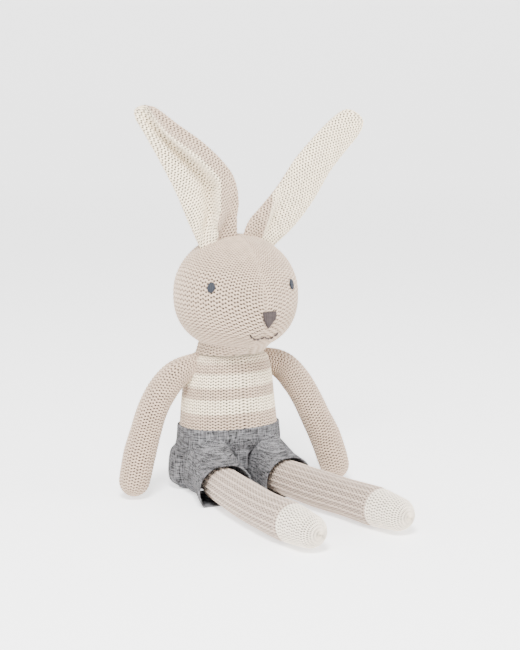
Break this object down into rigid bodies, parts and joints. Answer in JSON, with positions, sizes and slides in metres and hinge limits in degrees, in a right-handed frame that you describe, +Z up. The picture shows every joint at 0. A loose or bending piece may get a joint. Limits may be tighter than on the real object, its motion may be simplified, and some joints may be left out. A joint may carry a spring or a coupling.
{
  "type": "stuffed bunny rabbit",
  "caption": "Seated soft toy rabbit with knitted skins, long padded ears, floppy arms and legs, embroidered face and short cloth trousers.",
  "frame": {"origin": "on the floor under the front of the seat, between the thighs", "axes": "+Z up, -Y the way the toy faces, +X towards the toy's own left side"},
  "size_m": [0.1928, 0.2195, 0.2803],
  "materials": {
    "beige_knit": "purl-side cotton knit",
    "cream_knit": "purl-side cotton knit",
    "leg_knit": "ribbed cotton knit",
    "shorts_cloth": "slub plain-weave cloth",
    "stuffing": "loose fibre filling",
    "slate_thread": "satin stitch",
    "taupe_thread": "satin stitch",
    "seam_thread": "overcast seam"
  },
  "bodies": {
    "torso": {"torso_panel_front": "cream_knit", "torso_panel_back": "cream_knit", "torso_stuffing": "stuffing", "shorts_seat_right": "shorts_cloth", "shorts_seat_left": "shorts_cloth", "waist_thread": "seam_thread"},
    "neck": {"neck_stuffing": "stuffing"},
    "head": {"head_panel_left": "beige_knit", "head_panel_right": "beige_knit", "head_stuffing": "stuffing", "eye_left": "slate_thread", "eye_right": "slate_thread", "nose": "taupe_thread", "mouth": "taupe_thread"},
    "ear_left": {"ear_left_front": "cream_knit", "ear_left_back": "beige_knit", "ear_left_wadding": "stuffing"},
    "ear_right": {"ear_right_front": "cream_knit", "ear_right_back": "beige_knit", "ear_right_wadding": "stuffing"},
    "shoulder_left": {"shoulder_left_thread": "seam_thread"},
    "shoulder_right": {"shoulder_right_thread": "seam_thread"},
    "arm_left": {"arm_left_skin": "beige_knit", "arm_left_stuffing": "stuffing"},
    "arm_right": {"arm_right_skin": "beige_knit", "arm_right_stuffing": "stuffing"},
    "leg_left": {"leg_left_skin": "leg_knit", "foot_left_skin": "cream_knit", "leg_left_stuffing": "stuffing", "shorts_leg_left": "shorts_cloth"},
    "leg_right": {"leg_right_skin": "leg_knit", "foot_right_skin": "cream_knit", "leg_right_stuffing": "stuffing", "shorts_leg_right": "shorts_cloth"}
  },
  "joints": [
    {"name": "neck_turn", "type": "hinge", "parent": "torso", "child": "neck", "pos_m": [-0.0015, -0.003, 0.105], "axis": [0, 0, 1], "range_deg": [-45, 45], "stiffness_Nm_per_rad": 0.15},
    {"name": "neck_nod", "type": "hinge", "parent": "neck", "child": "head", "pos_m": [-0.0015, -0.003, 0.105], "axis": [1, 0, 0], "range_deg": [-12, 12], "stiffness_Nm_per_rad": 0.15},
    {"name": "ear_left_fold", "type": "hinge", "parent": "head", "child": "ear_left", "pos_m": [0.0185, -0.0082, 0.18621], "axis": [0.9596, 0, -0.2813], "range_deg": [-25, 35], "stiffness_Nm_per_rad": 0.03},
    {"name": "ear_right_fold", "type": "hinge", "parent": "head", "child": "ear_right", "pos_m": [-0.01525, -0.0082, 0.18621], "axis": [0.9583, 0, 0.2858], "range_deg": [-25, 35], "stiffness_Nm_per_rad": 0.03},
    {"name": "arm_left_swing", "type": "hinge", "parent": "torso", "child": "shoulder_left", "pos_m": [0.02928, 0, 0.09725], "axis": [-0.9759, 0, -0.2183], "range_deg": [-45, 95]},
    {"name": "arm_left_raise", "type": "hinge", "parent": "shoulder_left", "child": "arm_left", "pos_m": [0.03036, 0, 0.10849], "axis": [0, -1, 0], "range_deg": [0, 60]},
    {"name": "leg_left_fold", "type": "hinge", "parent": "torso", "child": "leg_left", "pos_m": [0.019, -0.022, 0.014], "axis": [1, 0, 0], "range_deg": [-20, 85]},
    {"name": "arm_right_swing", "type": "hinge", "parent": "torso", "child": "shoulder_right", "pos_m": [-0.03428, 0, 0.09725], "axis": [-0.9759, 0, 0.2183], "range_deg": [-45, 95]},
    {"name": "arm_right_raise", "type": "hinge", "parent": "shoulder_right", "child": "arm_right", "pos_m": [-0.03536, 0, 0.10849], "axis": [0, 1, 0], "range_deg": [0, 60]},
    {"name": "leg_right_fold", "type": "hinge", "parent": "torso", "child": "leg_right", "pos_m": [-0.026, -0.022, 0.014], "axis": [1, 0, 0], "range_deg": [-20, 85]}
  ]
}
